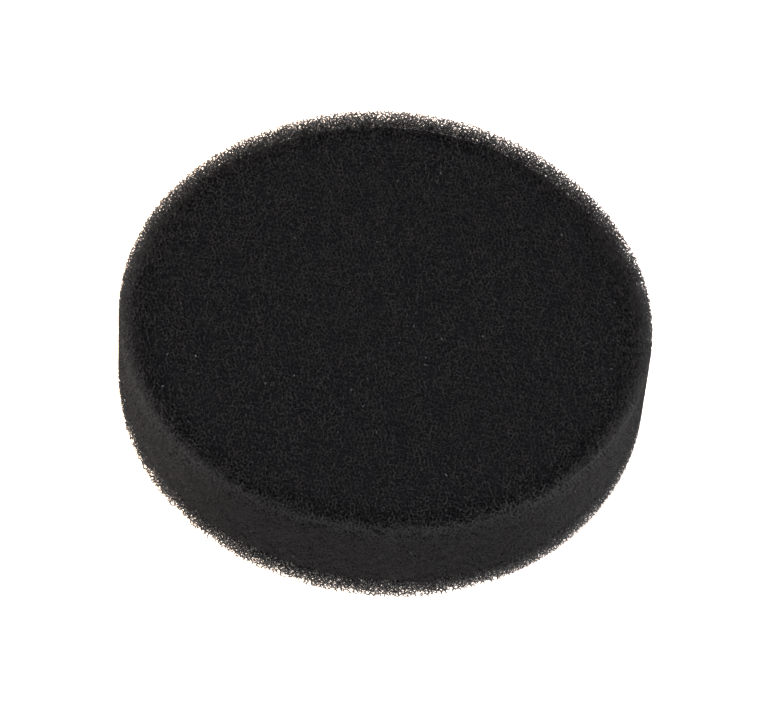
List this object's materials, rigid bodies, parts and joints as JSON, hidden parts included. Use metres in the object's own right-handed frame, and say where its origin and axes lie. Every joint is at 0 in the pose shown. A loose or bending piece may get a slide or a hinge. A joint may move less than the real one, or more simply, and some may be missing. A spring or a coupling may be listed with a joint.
{
  "type": "foam polishing pad",
  "caption": "Round black open-cell foam polishing pad, square-edged, bonded to a smaller round hook-and-loop backing.",
  "frame": {"origin": "centre of the loop side, on the plane that the ends of the loops lie in", "axes": "+Z along the pad's own axis, out of the foam's working face"},
  "size_m": [0.15, 0.15, 0.034],
  "materials": {
    "black_foam": "matt open-cell polyurethane foam, black, struts slightly shiny",
    "melt_film": "smoky hot-melt film, satin",
    "knit_cloth": "black knitted nylon cloth",
    "loop_yarn": "black nylon loops, soft sheen"
  },
  "bodies": {
    "root": {"foam_disc": "black_foam", "adhesive_film": "melt_film", "backing_cloth": "knit_cloth", "loop_pile": "loop_yarn"}
  },
  "joints": []
}
